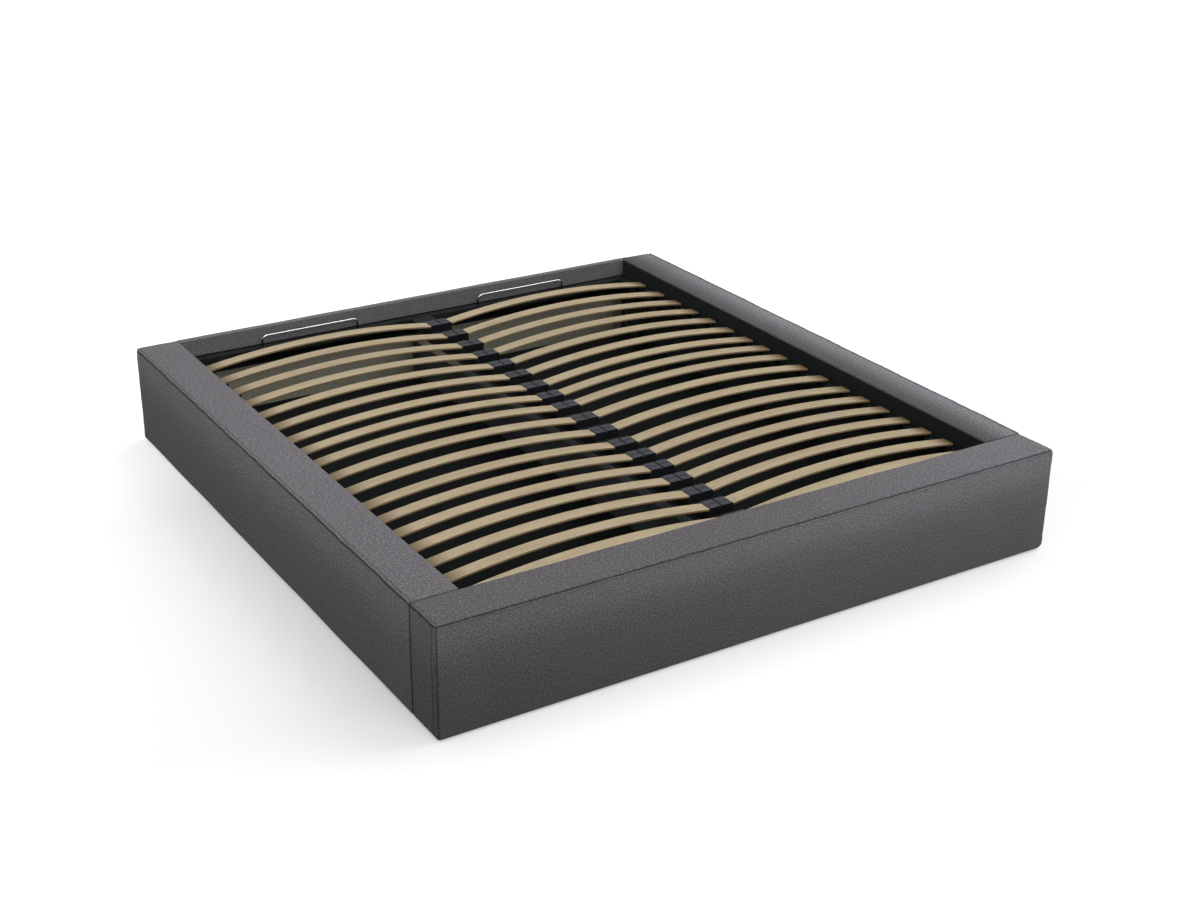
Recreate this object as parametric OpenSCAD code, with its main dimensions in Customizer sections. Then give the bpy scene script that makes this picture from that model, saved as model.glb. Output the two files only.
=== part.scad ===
// Upholstered storage bed whose slatted base lifts on a hinge at the head end.
// X is across the bed, +Y points to the head end, +Z is up.
// The origin is the middle of the footprint, on the ground. All sizes are in millimetres.

/* [Overall size] */
// Width over both side rails
bed_w = 2110; // [1900:5:2300]
// Length from the foot board to the head board
bed_l = 2225; // [2120:5:2400]
// Height of the upholstered walls above the ground
bed_h = 340; // [325:1:400]
// Height of the glides that carry the bed
glide_h = 6; // [4:1:8]
// Radius of the glides under the walls
glide_r = 20; // [14:1:20]

/* [Upholstered walls] */
// Thickness of a side rail with its upholstery
rail_t = 145; // [110:1:170]
// Thickness of the foot board with its upholstery
foot_t = 144; // [110:1:170]
// Thickness of the head board with its fabric
head_t = 24; // [18:1:40]
// Thickness of the boards that the hollow walls are glued from
board_t = 16; // [12:1:22]
// Thickness of the blocks inside the hollow walls
block_t = 80; // [76:1:90]
// Foam under the fabric
foam_t = 10; // [6:1:16]
// Upholstery fabric
fabric_t = 2; // [1.5:0.1:3]
// Fabric and wadding on the head board
head_fabric_t = 3; // [2:0.1:5]
// Fleece on the inner faces of the walls
lining_t = 2; // [1:0.1:3]
// How far the fleece stops below the top of the walls
lining_drop = 4; // [3:0.5:8]
// Width of fabric turned under the walls
hem_w = 34; // [20:1:36]
// Depth to which the fabric runs down inside the head board
head_fabric_drop = 62; // [40:1:90]
// Rounding of the upholstered outer edges
edge_r = 11; // [6:1:12]
// Rounding of the upholstered bottom edges
hem_r = 11; // [6:1:12]
// Rounding of the inner top edges
inner_r = 3; // [2:0.5:4]

/* [Storage space] */
// Height of the timber strips under the storage floor
batten_h = 30; // [24:1:36]
// Width of the timber strips under the storage floor
batten_w = 30; // [24:1:45]
// Number of strips across the bed
batten_n = 5; // [3:1:7]
// Thickness of the storage floor
floor_t = 10; // [6:1:14]
// Thickness of the upright board along the middle
divider_t = 36; // [18:1:45]
// How far the divider stops below the top of the frame tubes
divider_drop = 94; // [94:1:140]
// Thickness of the timber rail beside the divider
stiffener_t = 49; // [30:1:60]
// How far the timber rail stops below the divider
stiffener_drop = 6; // [3:1:20]

/* [Slat frame] */
// How far the frame tubes stop below the top of the walls
frame_drop = 64; // [62:1:72]
// Width and height of the square tubes
tube = 30; // [25:1:34]
// Wall of the tubes
tube_wall = 1.5; // [1.2:0.1:2.5]
// Width of the flat tube along the middle
beam_w = 80; // [60:1:84]
// Gap between the frame and the side rails
side_gap = 10; // [8:0.5:14]
// Gap between the frame and the foot board, a hand's grip
foot_gap = 20; // [15:1:26]
// Distance from the head board to the back of the frame
head_gap = 6; // [5:0.5:12]

/* [Slats] */
// Width of a slat
slat_w = 45; // [40:1:60]
// Thickness of a slat
slat_t = 8; // [7:0.5:9]
// Height that a slat bows up in its middle
slat_bow = 34; // [20:1:36]
// Height of a slat's ends above the frame tubes, to its top face
slat_rise = 21; // [20:0.5:23]
// Distance from the middle of the bed to a slat's inner end
slat_inner = 12; // [8:1:20]
// How far a slat stops short of the outside of the frame
slat_setback = 13; // [8:1:16]
// Rounding of a slat's long edges
slat_edge_r = 2.5; // [1:0.5:3]
// Distance from the head board to the first slat
first_row = 178.5; // [165:0.5:200]
// Slat spacing behind the first row
pitch_head = 128; // [110:1:140]
// Slat spacing under the shoulders
pitch_shoulder = 113; // [95:0.5:118]
// Slat spacing under the waist
pitch_waist = 100.5; // [90:0.5:118]
// Slat spacing under the hips
pitch_hip = 114; // [95:0.5:118]
// Distance from the foot board to the middle of the last slat
last_row = 38.3; // [34:0.1:44]

/* [Slat holders] */
// Length of a middle holder across the bed
holder_l = 84; // [70:1:96]
// Plastic around the slat in a middle holder
holder_wall = 2.2; // [1.6:0.1:3]
// Width of the pads under the outer slat ends
pad_w = 26; // [18:1:28]
// Width of the moulded grooves on a holder
groove_w = 3; // [1.5:0.5:5]
// Depth of the moulded grooves on a holder
groove_d = 1; // [0.5:0.1:1.5]
// Diameter of the pegs that locate holders and pads
peg_d = 8; // [5:0.5:10]
// Length of the pegs
peg_l = 9; // [6:1:14]

/* [Mattress loops] */
// Width over a loop
loop_w = 374; // [200:1:450]
// Distance from the middle of the bed to the middle of a loop
loop_x = 432; // [300:1:500]
// Height of a loop above the frame tubes
loop_h = 41; // [36:1:46]
// Diameter of the loop wire
wire_d = 6; // [5:0.5:7]
// Radius of the loop's bends, to the wire's centre
loop_r = 20; // [14:1:30]

/* [Lift mechanism] */
// Distance from the head board to the hinge pins
pivot_back = 103.5; // [98:0.5:108]
// Diameter of the hinge pins
pin_d = 12; // [8:0.5:14]
// Diameter of the bushes around the hinge pins
bush_d = 18; // [16:0.5:20]
// Thickness of the steel plates
plate_t = 5; // [4:0.5:6]
// Angle below the horizontal of the line from hinge to lower strut stud
lower_angle = 70; // [66:1:74]
// Angle at the hinge between the two strut studs, with the bed closed
closed_angle = 62; // [60:1:64]
// Angle through which the slat frame lifts
lift_angle = 40; // [30:1:40]
// Height of the lower strut stud above the storage floor
stud_rise = 19; // [17:1:26]
// Drop from the hinge to the upper screws of a lift plate, on the head side and on the foot side
plate_drop = [62, 78]; // [40:1:90]
// Distance from the hinge to those screws along the rail
plate_reach = [26, 64]; // [15:1:70]
// Distance from the lower strut stud to the lower screws of a lift plate
plate_foot = 40; // [34:1:46]
// Length of a strut lug's weld along the frame tube
weld_l = 34; // [24:1:60]
// Distance from the frame tube to the middle of a strut
strut_offset = 18; // [16:0.5:22]
// Diameter of a strut's cylinder
strut_d = 22; // [18:1:24]
// Wall of a strut's cylinder
strut_wall = 2; // [1.5:0.1:2.5]
// Diameter of a strut's rod
rod_d = 8; // [6:0.5:10]
// Diameter of the strut studs
stud_d = 8; // [6:0.5:9]
// Outer radius of a strut's end eyes
eye_r = 10; // [8:0.5:11]
// Thickness of a strut's end eyes
eye_t = 12; // [9:0.5:14]

/* [Fasteners and fits] */
// Diameter of the screw shanks
screw_d = 6; // [4:0.5:7]
// Diameter of the screw heads
screw_head_d = 12; // [9:0.5:14]
// Length of the screw shanks
screw_l = 16; // [10:1:18]
// Gap where one piece seats in another
seat_gap = 0.2; // [0.1:0.05:0.3]
// Gap between pieces that move past each other
free_gap = 0.3; // [0.2:0.05:0.5]
// Radial gap of a pin in its bore
pin_gap = 0.05; // [0.02:0.01:0.09]

/* [Hidden] */
row_n = 18;
BASE_NODES = ["rail_core_left", "rail_core_right", "foot_core", "head_panel",
    "rail_foam_left", "rail_foam_right", "foot_foam",
    "rail_cover_left", "rail_cover_right", "foot_cover", "head_cover", "wall_linings",
    "floor_panel_left", "floor_panel_right", "floor_battens", "divider_board", "divider_rail",
    "floor_glides", "corner_brackets", "bracket_screws",
    "lift_plate_left", "lift_plate_right", "pivot_pins", "pivot_washers",
    "rest_brackets", "rest_pads"];
FRAME_NODES = ["side_tube_left", "side_tube_right", "head_tube", "foot_tube", "centre_beam",
    "tube_caps", "pivot_bushes", "strut_lugs", "mattress_loops", "centre_holders", "side_pads"];
STRUT_NODES = ["strut_rod_left", "strut_rod_right", "strut_cylinder_left", "strut_cylinder_right"];
SLAT_NODES = [for (i = [0 : row_n - 1]) str("slat_row_", i + 1)];

eps = 1;
sides = [-1, 1];

// Heights
hem_z = glide_h - fabric_t;
core_top = bed_h - fabric_t - foam_t;
floor_under = glide_h + batten_h;
floor_top = floor_under + floor_t;
lining_top = bed_h - lining_drop;
frame_top = bed_h - frame_drop;
divider_top = frame_top - divider_drop;
tube_mid = frame_top - tube / 2;
tube_under = frame_top - tube;

// Outer and inner faces of the walls
rail_out = bed_w / 2;
rail_in = rail_out - rail_t;
foot_out = -bed_l / 2;
foot_in = foot_out + foot_t;
head_out = bed_l / 2;
head_in = head_out - head_t;

// Faces of the hollow cores
skin_t = fabric_t + foam_t;
core_in = rail_in + lining_t;
core_out = rail_out - skin_t;
rail_core_foot = foot_in + fabric_t;
rail_core_head = head_out - skin_t;
foot_core_out = foot_out + skin_t;
foot_core_in = foot_in - lining_t;
panel_in = head_in + head_fabric_t;
panel_out = head_out - head_fabric_t;

// Slat frame
frame_out = rail_in - side_gap;
frame_in = frame_out - tube;
frame_head = head_in - head_gap;
frame_foot = foot_in + foot_gap;
loop_y = frame_head - tube / 2;

// Slats: the top face is an arc through both ends
slat_tip = frame_out - slat_setback;
slat_chord = slat_tip - slat_inner;
slat_mid = (slat_tip + slat_inner) / 2;
slat_r = slat_chord * slat_chord / (8 * slat_bow) + slat_bow / 2;
slat_centre_z = frame_top + slat_rise + slat_bow - slat_r;
slat_half = asin(slat_chord / 2 / slat_r);
holder_w = slat_w + 2 * holder_wall;
holder_mouth_z = slat_centre_z + sqrt(slat_r * slat_r - pow(slat_mid - holder_l / 2, 2));
holder_top = holder_mouth_z + seat_gap + holder_wall;
pad_x = slat_tip - pad_w / 2 - 1;
pad_peg_x = pad_x + pad_w / 2 - peg_d / 2 - 2;

// Slat rows, spaced in zones from the head end; the rows under the legs share what is left
upper_rows = [1, 5, 2, 3];
upper_pitch = [pitch_head, pitch_shoulder, pitch_waist, pitch_hip];
leg_rows = row_n - 1 - upper_rows * [1, 1, 1, 1];
pitch_leg = (head_in - first_row - upper_rows * upper_pitch - foot_in - last_row) / leg_rows;
row_steps = concat([for (z = [0 : 3]) for (k = [1 : upper_rows[z]]) upper_pitch[z]],
    [for (k = [1 : leg_rows]) pitch_leg]);
function sum_first(list, n) = n == 0 ? 0 : list[n - 1] + sum_first(list, n - 1);
function row_y(i) = head_in - first_row - sum_first(row_steps, i);
rows = [for (i = [0 : row_n - 1]) row_y(i)];

// Lift mechanism. Both strut studs lie at lever_r from the hinge, so the strut
// turns through exactly half of the angle through which the frame turns.
pivot = [head_in - pivot_back, tube_mid];
lower_z = floor_top + stud_rise;
lever_r = (tube_mid - lower_z) / sin(lower_angle);
upper_angle = lower_angle - closed_angle;
lower_stud = pivot - lever_r * [cos(lower_angle), sin(lower_angle)];
upper_stud = pivot - lever_r * [cos(upper_angle), sin(upper_angle)];
strut_closed = 2 * lever_r * sin(closed_angle / 2);
strut_open = 2 * lever_r * sin((closed_angle + lift_angle) / 2);
strut_rise = atan2(upper_stud[1] - lower_stud[1], upper_stud[0] - lower_stud[0]);
strut_x = frame_in - strut_offset;
plate_in = rail_in - plate_t;
lug_in = frame_in - plate_t;
ear_in = strut_x + eye_t / 2 + 2;
stud_end = strut_x - eye_t / 2 - 4;

// Strut lengths, measured from each end's stud
eye_neck = eye_r + 8;
cap_t = 4;
mouth_t = 6;
piston_l = 10;
rod_stub = eye_neck + 24;
cylinder_l = strut_closed - rod_stub;
rod_l = strut_closed - eye_neck - cap_t - 1;
guide_r = rod_d / 2 + free_gap;

// Fastener places
pocket_n = 4;
screw_z = [80, 130, 180];
corner_leg = 40;
corner_t = 3;
corner_h = 130;
corner_z = 65;
plate_screws = [[pivot[0] + plate_reach[0], tube_mid - plate_drop[0]],
    [pivot[0] - plate_reach[1], tube_mid - plate_drop[1]],
    [lower_stud[0] + plate_foot, lower_z + stud_d / 2], [lower_stud[0] - plate_foot, lower_z + stud_d / 2]];
rest_x = 600;
rest_w = 60;
rest_leg = 40;
rest_pad_t = 3;

// Colours
charcoal = [0.31, 0.30, 0.31];
foam_tint = [0.85, 0.82, 0.62];
board_tint = [0.62, 0.52, 0.38];
timber = [0.72, 0.60, 0.42];
fleece = [0.08, 0.08, 0.08];
steel_black = [0.10, 0.10, 0.11];
beech = [0.76, 0.68, 0.52];
plastic = [0.17, 0.18, 0.20];
zinc = [0.70, 0.71, 0.73];

// Repeats its children on the right and, mirrored, on the left
module both_sides() {
    children();
    mirror([1, 0, 0]) children();
}

// Shows its children on one side only
module on_side(s) {
    if (s > 0) children();
    else mirror([1, 0, 0]) children();
}

// Cuboid between two corners
module block(lo, hi) {
    translate(lo) cube(hi - lo);
}

// Rectangle between two corners, each corner rounded by its own radius
// r lists the radii from the low corner on, anticlockwise
module rounded(lo, hi, r) {
    corners = [[lo, [1, 1]], [[hi[0], lo[1]], [-1, 1]], [hi, [-1, -1]], [[lo[0], hi[1]], [1, -1]]];
    difference() {
        translate(lo) square(hi - lo);
        for (i = [0 : 3]) if (r[i] > 0)
            translate(corners[i][0]) mirror([corners[i][1][0] < 0 ? 1 : 0, 0])
                mirror([0, corners[i][1][1] < 0 ? 1 : 0]) difference() {
                    translate([-eps, -eps]) square(r[i] + eps);
                    translate([r[i], r[i]]) circle(r = r[i], $fn = 64);
                }
    }
}

// Bar along X, Y or Z whose section is drawn in the other two row axes
module along_x(x0, x1) {
    translate([x0, 0, 0]) rotate([90, 0, 90]) linear_extrude(x1 - x0) children();
}
module along_y(y0, y1) {
    translate([0, y1, 0]) rotate([90, 0, 0]) linear_extrude(y1 - y0) children();
}
module along_z(z0, z1) {
    translate([0, 0, z0]) linear_extrude(z1 - z0) children();
}

// Round bar along X
module rod_x(x0, x1, p, r) {
    translate([x0, p[0], p[1]]) rotate([0, 90, 0]) cylinder(h = x1 - x0, r = r, $fn = 48);
}

// Upholstered side rail on the right, drawn in by inset on its upholstered faces
module rail_block(inset) {
    top_r = edge_r - inset;
    low_r = hem_r - inset;
    in_r = max(inner_r - inset, 0);
    x0 = rail_in + (inset > 0 ? lining_t : 0);
    lo_z = hem_z + min(inset, fabric_t);
    intersection() {
        along_y(foot_in + min(inset, fabric_t), head_out - inset)
            rounded([x0, lo_z], [rail_out - inset, bed_h - inset], [0, low_r, top_r, in_r]);
        along_z(hem_z, bed_h)
            rounded([x0, foot_in], [rail_out - inset, head_out - inset], [0, 0, top_r, 0]);
        along_x(x0, rail_out)
            rounded([foot_in, lo_z], [head_out - inset, bed_h - inset], [0, low_r, top_r, 0]);
    }
}

// Upholstered foot board, drawn in by inset on its upholstered faces
module foot_block(inset) {
    top_r = edge_r - inset;
    low_r = hem_r - inset;
    in_r = max(inner_r - inset, 0);
    half = rail_out - inset;
    y1 = foot_in - (inset > 0 ? fabric_t : 0);
    lo_z = hem_z + min(inset, fabric_t);
    intersection() {
        along_x(-half, half)
            rounded([foot_out + inset, lo_z], [y1, bed_h - inset], [low_r, 0, in_r, top_r]);
        along_z(hem_z, bed_h)
            rounded([-half, foot_out + inset], [half, y1], [top_r, top_r, 0, 0]);
        along_y(foot_out, foot_in)
            rounded([-half, lo_z], [half, bed_h - inset], [low_r, low_r, top_r, top_r]);
    }
}

// A hollow wall along Y between two boards, closed by a top board and open below
// A block stands at both ends and at each quarter of its length
module wall_boards(x0, x1, y0, y1) {
    step = (y1 - y0 - block_t) / pocket_n;
    in_0 = x0 + board_t + seat_gap;
    in_1 = x1 - board_t - seat_gap;
    block([x0, y0, glide_h], [x0 + board_t, y1, core_top]);
    block([x1 - board_t, y0, glide_h], [x1, y1, core_top]);
    block([in_0, y0, core_top - board_t], [in_1, y1, core_top]);
    for (i = [0 : pocket_n]) translate([0, y0 + i * step, 0])
        block([in_0, 0, glide_h], [in_1, block_t, core_top - board_t - seat_gap]);
}

module rail_core(s) {
    color(board_tint) on_side(s) difference() {
        wall_boards(core_in, core_out, rail_core_foot, rail_core_head);
        wall_screws(0);
        plate_holes(0);
    }
}

module foot_core() {
    color(board_tint) difference() {
        rotate([0, 0, -90]) wall_boards(-foot_core_in, -foot_core_out, -core_out, core_out);
        both_sides() wall_screws(0);
        rest_screws(0);
    }
}

// Foam sheets on a rail: on its outer face, on its top and on its head end
module rail_foam(s) {
    sheets = [[[core_out, foot_in, 0], [rail_out, head_out, bed_h]],
        [[core_in, foot_in, core_top], [core_out - seat_gap, head_out, bed_h]],
        [[core_in, rail_core_head, 0], [core_out - seat_gap, head_out, core_top - seat_gap]]];
    color(foam_tint) on_side(s) for (f = sheets) intersection() {
        rail_block(fabric_t);
        block(f[0], f[1]);
    }
}

// Foam sheets on the foot board: on its outer face, on its top and on both ends
module foot_foam() {
    y0 = foot_core_out + seat_gap;
    sheets = [[[-rail_out, foot_out, 0], [rail_out, foot_core_out, bed_h]],
        [[-rail_out, y0, core_top], [rail_out, foot_in, bed_h]],
        [[core_out, y0, 0], [rail_out, foot_in, core_top - seat_gap]],
        [[-rail_out, y0, 0], [-core_out, foot_in, core_top - seat_gap]]];
    color(foam_tint) for (f = sheets) intersection() {
        foot_block(fabric_t);
        block(f[0], f[1]);
    }
}

module rail_cover(s) {
    color(charcoal) on_side(s) difference() {
        rail_block(0);
        rail_block(fabric_t);
        block([0, foot_in - eps, 0], [core_in, head_out + eps, lining_top]);
        block([0, foot_in - eps, 0], [core_out - hem_w, rail_core_head - hem_w, glide_h]);
    }
}

module foot_cover() {
    color(charcoal) difference() {
        foot_block(0);
        foot_block(fabric_t);
        block([-rail_in, foot_core_in, 0], [rail_in, foot_in + eps, lining_top]);
        block([-core_out + hem_w, foot_core_out + hem_w, 0], [core_out - hem_w, foot_in + eps, glide_h]);
    }
}

module head_panel() {
    color(board_tint) difference() {
        block([-rail_in, panel_in, glide_h], [rail_in, panel_out, bed_h - head_fabric_t]);
        both_sides() wall_screws(0);
    }
}

module head_cover() {
    color(charcoal) along_x(-rail_in, rail_in) difference() {
        rounded([head_in, hem_z], [head_out, bed_h], [0, inner_r, inner_r, inner_r]);
        square([panel_out, bed_h - head_fabric_t]);
        translate([0, hem_z - eps]) square([panel_in, bed_h - head_fabric_drop - hem_z + eps]);
    }
}

module wall_linings() {
    color(fleece) difference() {
        union() {
            both_sides() block([rail_in, foot_in, glide_h], [core_in, head_out - skin_t, lining_top]);
            block([-rail_in, foot_core_in, glide_h], [rail_in, foot_in, lining_top]);
        }
        both_sides() {
            wall_screws(0);
            plate_holes(0);
        }
        rest_screws(0);
    }
}

// Timber strips: two along the side rails and several across between them
batten_pitch = (panel_in - foot_in - batten_w) / (batten_n - 1);
batten_end = rail_in - batten_w - seat_gap;
module floor_battens() {
    color(timber) {
        both_sides() block([rail_in - batten_w, foot_in, glide_h], [rail_in, panel_in, floor_under]);
        for (i = [0 : batten_n - 1])
            translate([0, foot_in + i * batten_pitch, 0])
                block([-batten_end, 0, glide_h], [batten_end, batten_w, floor_under]);
    }
}

module floor_panel(x0, x1) {
    color(fleece) difference() {
        block([x0, foot_in, floor_under], [x1, panel_in, floor_top]);
        for (y = [foot_in, panel_in], s = sides)
            translate([s * rail_in, y, 0]) cube([2 * corner_t, 2 * corner_t, 2 * bed_h], center = true);
    }
}

module divider_board() {
    color(timber) block([-divider_t / 2, foot_in, floor_under], [divider_t / 2, panel_in, divider_top]);
}

module divider_rail() {
    color(fleece) block([divider_t / 2, foot_in, floor_top],
        [divider_t / 2 + stiffener_t, panel_in, divider_top - stiffener_drop]);
}

// Round plastic glide with a chamfered foot
module glide(r) {
    rotate_extrude($fn = 48) polygon([[0, 0], [r - 2, 0], [r, 2], [r, glide_h], [0, glide_h]]);
}

module floor_glides() {
    end = hem_w + glide_r + 2;
    rail_step = (rail_core_head - rail_core_foot - 2 * end) / pocket_n;
    foot_step = 2 * (core_out - end) / pocket_n;
    color(plastic) {
        for (i = [0 : pocket_n], s = sides)
            translate([s * (core_in + board_t + glide_r + 10), rail_core_foot + end + i * rail_step, 0])
                glide(glide_r);
        for (i = [0 : pocket_n])
            translate([-core_out + end + i * foot_step, foot_core_in - board_t - glide_r - 10, 0])
                glide(glide_r);
        for (i = [0 : batten_n - 1], s = sides)
            translate([s * rail_in / 2, foot_in + batten_w / 2 + i * batten_pitch, 0])
                glide(batten_w / 2 - 1);
    }
}

// Screws through the corner brackets on the right: into the rail and into the end walls
function corner_screws() = [for (e = [[foot_in, 1], [panel_in, -1]], z = screw_z) [e, z]];

module screw(grow) {
    cylinder(h = 2.5, r = screw_head_d / 2, $fn = 32);
    translate([0, 0, -screw_l]) cylinder(h = screw_l, r = screw_d / 2 + grow, $fn = 32);
}

module wall_screws(part) {
    for (c = corner_screws()) {
        y = c[0][0];
        inward = c[0][1];
        translate([rail_in - corner_t, y + inward * corner_leg * 0.6, c[1]])
            rotate([0, -90, 0]) screw_or_hole(part);
        translate([rail_in - corner_leg * 0.6, y + inward * corner_t, c[1]])
            rotate([-90 * inward, 0, 0]) screw_or_hole(part);
    }
}

// Part 1 is the screw itself, part 0 the hole that it needs
module screw_or_hole(part) {
    if (part == 1) screw(0);
    else translate([0, 0, -screw_l - seat_gap])
        cylinder(h = screw_l + seat_gap + eps / 2, r = screw_d / 2 + seat_gap / 2, $fn = 32);
}

module plate_holes(part) {
    for (p = plate_screws)
        translate([plate_in, p[0], p[1]]) rotate([0, -90, 0]) screw_or_hole(part);
}

module rest_screws(part) {
    for (s = sides, dx = [-rest_w / 4, rest_w / 4])
        translate([s * rest_x + dx, foot_in + corner_t, tube_under - rest_leg * 0.6])
            rotate([-90, 0, 0]) screw_or_hole(part);
}

module corner_brackets() {
    color(zinc) both_sides() for (e = [[foot_in, 0], [panel_in, 1]])
        translate([0, e[0], 0]) mirror([0, e[1], 0]) translate([0, -e[0], 0]) difference() {
            along_z(corner_z, corner_z + corner_h) translate([rail_in, e[0]]) difference() {
                translate([-corner_leg, 0]) square(corner_leg);
                translate([-corner_leg - eps, corner_t]) square(corner_leg - corner_t + eps);
            }
            translate([0, e[0], 0]) mirror([0, e[1], 0]) translate([0, -e[0], 0]) wall_screws(0);
        }
}

module bracket_screws() {
    color(zinc) {
        both_sides() {
            wall_screws(1);
            plate_holes(1);
        }
        rest_screws(1);
    }
}

// Flat strap with round ends between two points, each end with its own radius
module strap(p, q, rp, rq) {
    d = q - p;
    len_pq = norm(d);
    u = d / len_pq;
    v = [-u[1], u[0]];
    k = (rp - rq) / len_pq;
    h = sqrt(1 - k * k);
    polygon([p + rp * (k * u + h * v), p + rp * (k * u - h * v),
        q + rq * (k * u - h * v), q + rq * (k * u + h * v)]);
    translate(p) circle(r = rp, $fn = 64);
    translate(q) circle(r = rq, $fn = 64);
}

// Steel plate on the rail: it holds the hinge pin, and an ear on a folded web holds the strut
module lift_plate(s) {
    foot_w = plate_foot + screw_head_d;
    ear_w = 2 * stud_d;
    web_z = lower_z - eye_r - 2;
    color(steel_black) on_side(s) difference() {
        union() {
            along_x(plate_in, rail_in) {
                strap(pivot, lower_stud, 20, 15);
                strap(pivot, plate_screws[0], 20, 12);
                strap(pivot, plate_screws[1], 20, 12);
                rounded([lower_stud[0] - foot_w, web_z - plate_t], [lower_stud[0] + foot_w, lower_z + 16],
                    [2, 2, 10, 10]);
            }
            block([ear_in, lower_stud[0] - ear_w, web_z - plate_t], [rail_in, lower_stud[0] + ear_w, web_z]);
            along_x(ear_in, ear_in + plate_t) {
                translate([lower_stud[0] - ear_w, web_z - plate_t])
                    square([2 * ear_w, lower_z - web_z + plate_t]);
                translate(lower_stud) circle(r = ear_w, $fn = 64);
            }
            rod_x(stud_end, ear_in + eps, lower_stud, stud_d / 2);
        }
        rod_x(plate_in - eps, rail_in + eps, pivot, pin_d / 2 + pin_gap);
        plate_holes(0);
    }
}

module pivot_pins() {
    head_x = frame_in - free_gap - 6;
    color(zinc) both_sides() {
        rod_x(head_x, rail_in, pivot, pin_d / 2);
        translate([head_x - 4, pivot[0], pivot[1]]) rotate([0, 90, 0])
            cylinder(h = 6 + 4 - free_gap, r = pin_d * 0.8, $fn = 6);
    }
}

module pivot_washers() {
    color(zinc) both_sides() difference() {
        rod_x(frame_out + 2 * free_gap, plate_in - seat_gap, pivot, bush_d / 2 + 3);
        rod_x(frame_out, plate_in, pivot, pin_d / 2 + pin_gap);
    }
}

module pivot_bushes() {
    color(plastic) both_sides() difference() {
        rod_x(frame_in, frame_out + free_gap, pivot, bush_d / 2);
        rod_x(frame_in - eps, frame_out + eps, pivot, pin_d / 2 + pin_gap);
    }
}

module rest_brackets() {
    top = tube_under - free_gap - rest_pad_t;
    color(zinc) for (s = sides) translate([s * rest_x - rest_w / 2, foot_in, 0]) difference() {
        union() {
            block([0, 0, top - rest_leg], [rest_w, corner_t, top]);
            block([0, 0, top - corner_t], [rest_w, foot_gap + tube, top]);
        }
        translate([rest_w / 2 - s * rest_x, -foot_in, 0]) rest_screws(0);
    }
}

module rest_pads() {
    top = tube_under - free_gap;
    color(plastic) for (s = sides)
        translate([s * rest_x, foot_in + foot_gap + tube / 2, top - rest_pad_t])
            cylinder(h = rest_pad_t, r = tube / 2 - 2, $fn = 48);
}

// Square tube along Y between two ends
module side_tube(s) {
    color(steel_black) on_side(s) difference() {
        block([frame_in, frame_foot, tube_under], [frame_out, frame_head, frame_top]);
        block([frame_in + tube_wall, frame_foot - eps, tube_under + tube_wall],
            [frame_out - tube_wall, frame_head + eps, frame_top - tube_wall]);
        rod_x(frame_in - eps, frame_out + eps, pivot, bush_d / 2);
        pegs(pad_peg_x, seat_gap / 2);
    }
}

// Tube across the bed, open at its ends against the side tubes
module cross_tube(y0) {
    difference() {
        block([-frame_in, y0, tube_under], [frame_in, y0 + tube, frame_top]);
        block([-frame_in - eps, y0 + tube_wall, tube_under + tube_wall],
            [frame_in + eps, y0 + tube - tube_wall, frame_top - tube_wall]);
    }
}

module head_tube() {
    color(steel_black) difference() {
        cross_tube(frame_head - tube);
        both_sides() for (s = sides)
            translate([loop_x + s * (loop_w - wire_d) / 2, loop_y, frame_top - tube / 2])
                cylinder(h = tube, r = wire_d / 2 + seat_gap / 2, $fn = 32);
    }
}

module foot_tube() {
    color(steel_black) difference() {
        cross_tube(frame_foot);
        pegs(0, seat_gap / 2);
    }
}

module centre_beam() {
    color(steel_black) difference() {
        block([-beam_w / 2, frame_foot + tube, tube_under], [beam_w / 2, frame_head - tube, frame_top]);
        block([-beam_w / 2 + tube_wall, frame_foot, tube_under + tube_wall],
            [beam_w / 2 - tube_wall, frame_head, frame_top - tube_wall]);
        pegs(0, seat_gap / 2);
    }
}

// One peg a row, pointing down into the tube below
module pegs(x, grow) {
    for (y = rows) translate([x, y, frame_top - peg_l]) cylinder(h = peg_l + eps, r = peg_d / 2 + grow, $fn = 24);
}

module tube_caps() {
    in_w = tube - 2 * tube_wall - 2 * seat_gap;
    color(plastic) both_sides() for (e = [[frame_foot, -1], [frame_head, 1]])
        translate([frame_in + tube / 2, e[0], tube_mid]) mirror([0, e[1] < 0 ? 1 : 0, 0]) {
            translate([0, 1, 0]) cube([tube, 2, tube], center = true);
            translate([0, -6, 0]) cube([in_w, 12, in_w], center = true);
        }
}

// Plate welded under the frame tube, with the stud that holds the strut's cylinder
module strut_lugs() {
    weld_y = upper_stud[0] + weld_l;
    color(steel_black) both_sides() {
        along_x(lug_in, frame_in) {
            strap(upper_stud, [upper_stud[0], tube_mid + 2], 12, 12);
            strap([upper_stud[0] + 4, tube_mid + 2], [weld_y, tube_mid + 4], 10, 8);
        }
        rod_x(stud_end, lug_in + eps, upper_stud, stud_d / 2);
    }
}

// Wire loop that keeps the mattress from sliding to the head
module mattress_loops() {
    wire_r = wire_d / 2;
    leg_x = (loop_w - wire_d) / 2;
    top_z = frame_top + loop_h - wire_r;
    foot_z = tube_mid;
    color("silver") for (s = sides) translate([s * loop_x, loop_y, 0]) {
        rod_along = 2 * (leg_x - loop_r);
        translate([-rod_along / 2, 0, top_z]) rotate([0, 90, 0]) cylinder(h = rod_along, r = wire_r, $fn = 32);
        for (m = [0, 1]) mirror([m, 0, 0]) {
            translate([leg_x, 0, foot_z]) cylinder(h = top_z - loop_r - foot_z, r = wire_r, $fn = 32);
            translate([leg_x - loop_r, 0, top_z - loop_r]) rotate([90, 0, 0])
                rotate_extrude(angle = 90, $fn = 96) translate([loop_r, 0]) circle(r = wire_r, $fn = 32);
        }
    }
}

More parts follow.
